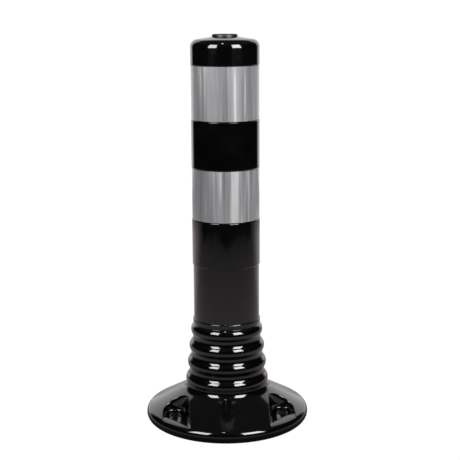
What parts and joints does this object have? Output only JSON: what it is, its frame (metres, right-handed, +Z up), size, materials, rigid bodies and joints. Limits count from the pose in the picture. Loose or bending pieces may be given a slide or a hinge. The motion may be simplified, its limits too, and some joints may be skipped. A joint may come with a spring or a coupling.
{
  "type": "flexible bollard",
  "caption": "Self-righting flexible bollard: bolt-down skirt, bellows neck that bends and springs back, ringed post, reflective bands, cap and plug.",
  "frame": {"origin": "centre of the skirt on the ground plane", "axes": "+Z up along the post, -Y the front, where two anchor pockets face"},
  "size_m": [0.195, 0.195, 0.4586],
  "materials": {
    "black_moulding": "glossy black polyurethane",
    "reflective_film": "silver reflective sheeting",
    "bush_steel": "black zinc plated",
    "seal_rubber": "matt"
  },
  "bodies": {
    "base": {"base_skirt": "black_moulding", "bellows_rib_1": "black_moulding", "anchor_bush_front_left": "bush_steel", "anchor_bush_front_right": "bush_steel", "anchor_bush_rear": "bush_steel"},
    "groove_1": {"bellows_web_1": "black_moulding"},
    "rib_2": {"bellows_rib_2": "black_moulding"},
    "groove_2": {"bellows_web_2": "black_moulding"},
    "rib_3": {"bellows_rib_3": "black_moulding"},
    "groove_3": {"bellows_web_3": "black_moulding"},
    "rib_4": {"bellows_rib_4": "black_moulding", "post_collar": "black_moulding"},
    "flex_section": {"post_flex_section": "black_moulding"},
    "post": {"post_tube": "black_moulding", "reflective_band_lower": "reflective_film", "reflective_band_upper": "reflective_film", "top_cap": "black_moulding", "cap_plug": "black_moulding", "plug_seal_ring": "seal_rubber"}
  },
  "joints": [
    {"name": "bend_1_fore_aft", "type": "hinge", "parent": "base", "child": "groove_1", "pos_m": [0, 0, 0.05464], "axis": [1, 0, 0], "range_deg": [-18, 18], "stiffness_Nm_per_rad": 60, "deforming": ["bellows_rib_1"]},
    {"name": "bend_1_sideways", "type": "hinge", "parent": "groove_1", "child": "rib_2", "pos_m": [0, 0, 0.06481], "axis": [0, 1, 0], "range_deg": [-9, 9], "stiffness_Nm_per_rad": 60, "deforming": ["bellows_web_1"]},
    {"name": "bend_2_fore_aft", "type": "hinge", "parent": "rib_2", "child": "groove_2", "pos_m": [0, 0, 0.07499], "axis": [1, 0, 0], "range_deg": [-18, 18], "stiffness_Nm_per_rad": 60, "deforming": ["bellows_rib_2"]},
    {"name": "bend_2_sideways", "type": "hinge", "parent": "groove_2", "child": "rib_3", "pos_m": [0, 0, 0.08516], "axis": [0, 1, 0], "range_deg": [-9, 9], "stiffness_Nm_per_rad": 60, "deforming": ["bellows_web_2"]},
    {"name": "bend_3_fore_aft", "type": "hinge", "parent": "rib_3", "child": "groove_3", "pos_m": [0, 0, 0.09534], "axis": [1, 0, 0], "range_deg": [-18, 18], "stiffness_Nm_per_rad": 60, "deforming": ["bellows_rib_3"]},
    {"name": "bend_3_sideways", "type": "hinge", "parent": "groove_3", "child": "rib_4", "pos_m": [0, 0, 0.10551], "axis": [0, 1, 0], "range_deg": [-9, 9], "stiffness_Nm_per_rad": 60, "deforming": ["bellows_web_3"]},
    {"name": "bend_4_fore_aft", "type": "hinge", "parent": "rib_4", "child": "flex_section", "pos_m": [0, 0, 0.1423], "axis": [1, 0, 0], "range_deg": [-36, 36], "stiffness_Nm_per_rad": 60, "deforming": ["bellows_rib_4"]},
    {"name": "bend_4_sideways", "type": "hinge", "parent": "flex_section", "child": "post", "pos_m": [0, 0, 0.1728], "axis": [0, 1, 0], "range_deg": [-18, 18], "stiffness_Nm_per_rad": 60, "deforming": ["post_flex_section"]}
  ],
  "couplings": [
    {"joint": "bend_2_fore_aft", "follows": "bend_1_fore_aft", "ratio": 1},
    {"joint": "bend_2_sideways", "follows": "bend_1_sideways", "ratio": 1},
    {"joint": "bend_3_fore_aft", "follows": "bend_1_fore_aft", "ratio": 1},
    {"joint": "bend_3_sideways", "follows": "bend_1_sideways", "ratio": 1},
    {"joint": "bend_4_fore_aft", "follows": "bend_1_fore_aft", "ratio": 2},
    {"joint": "bend_4_sideways", "follows": "bend_1_sideways", "ratio": 2}
  ]
}
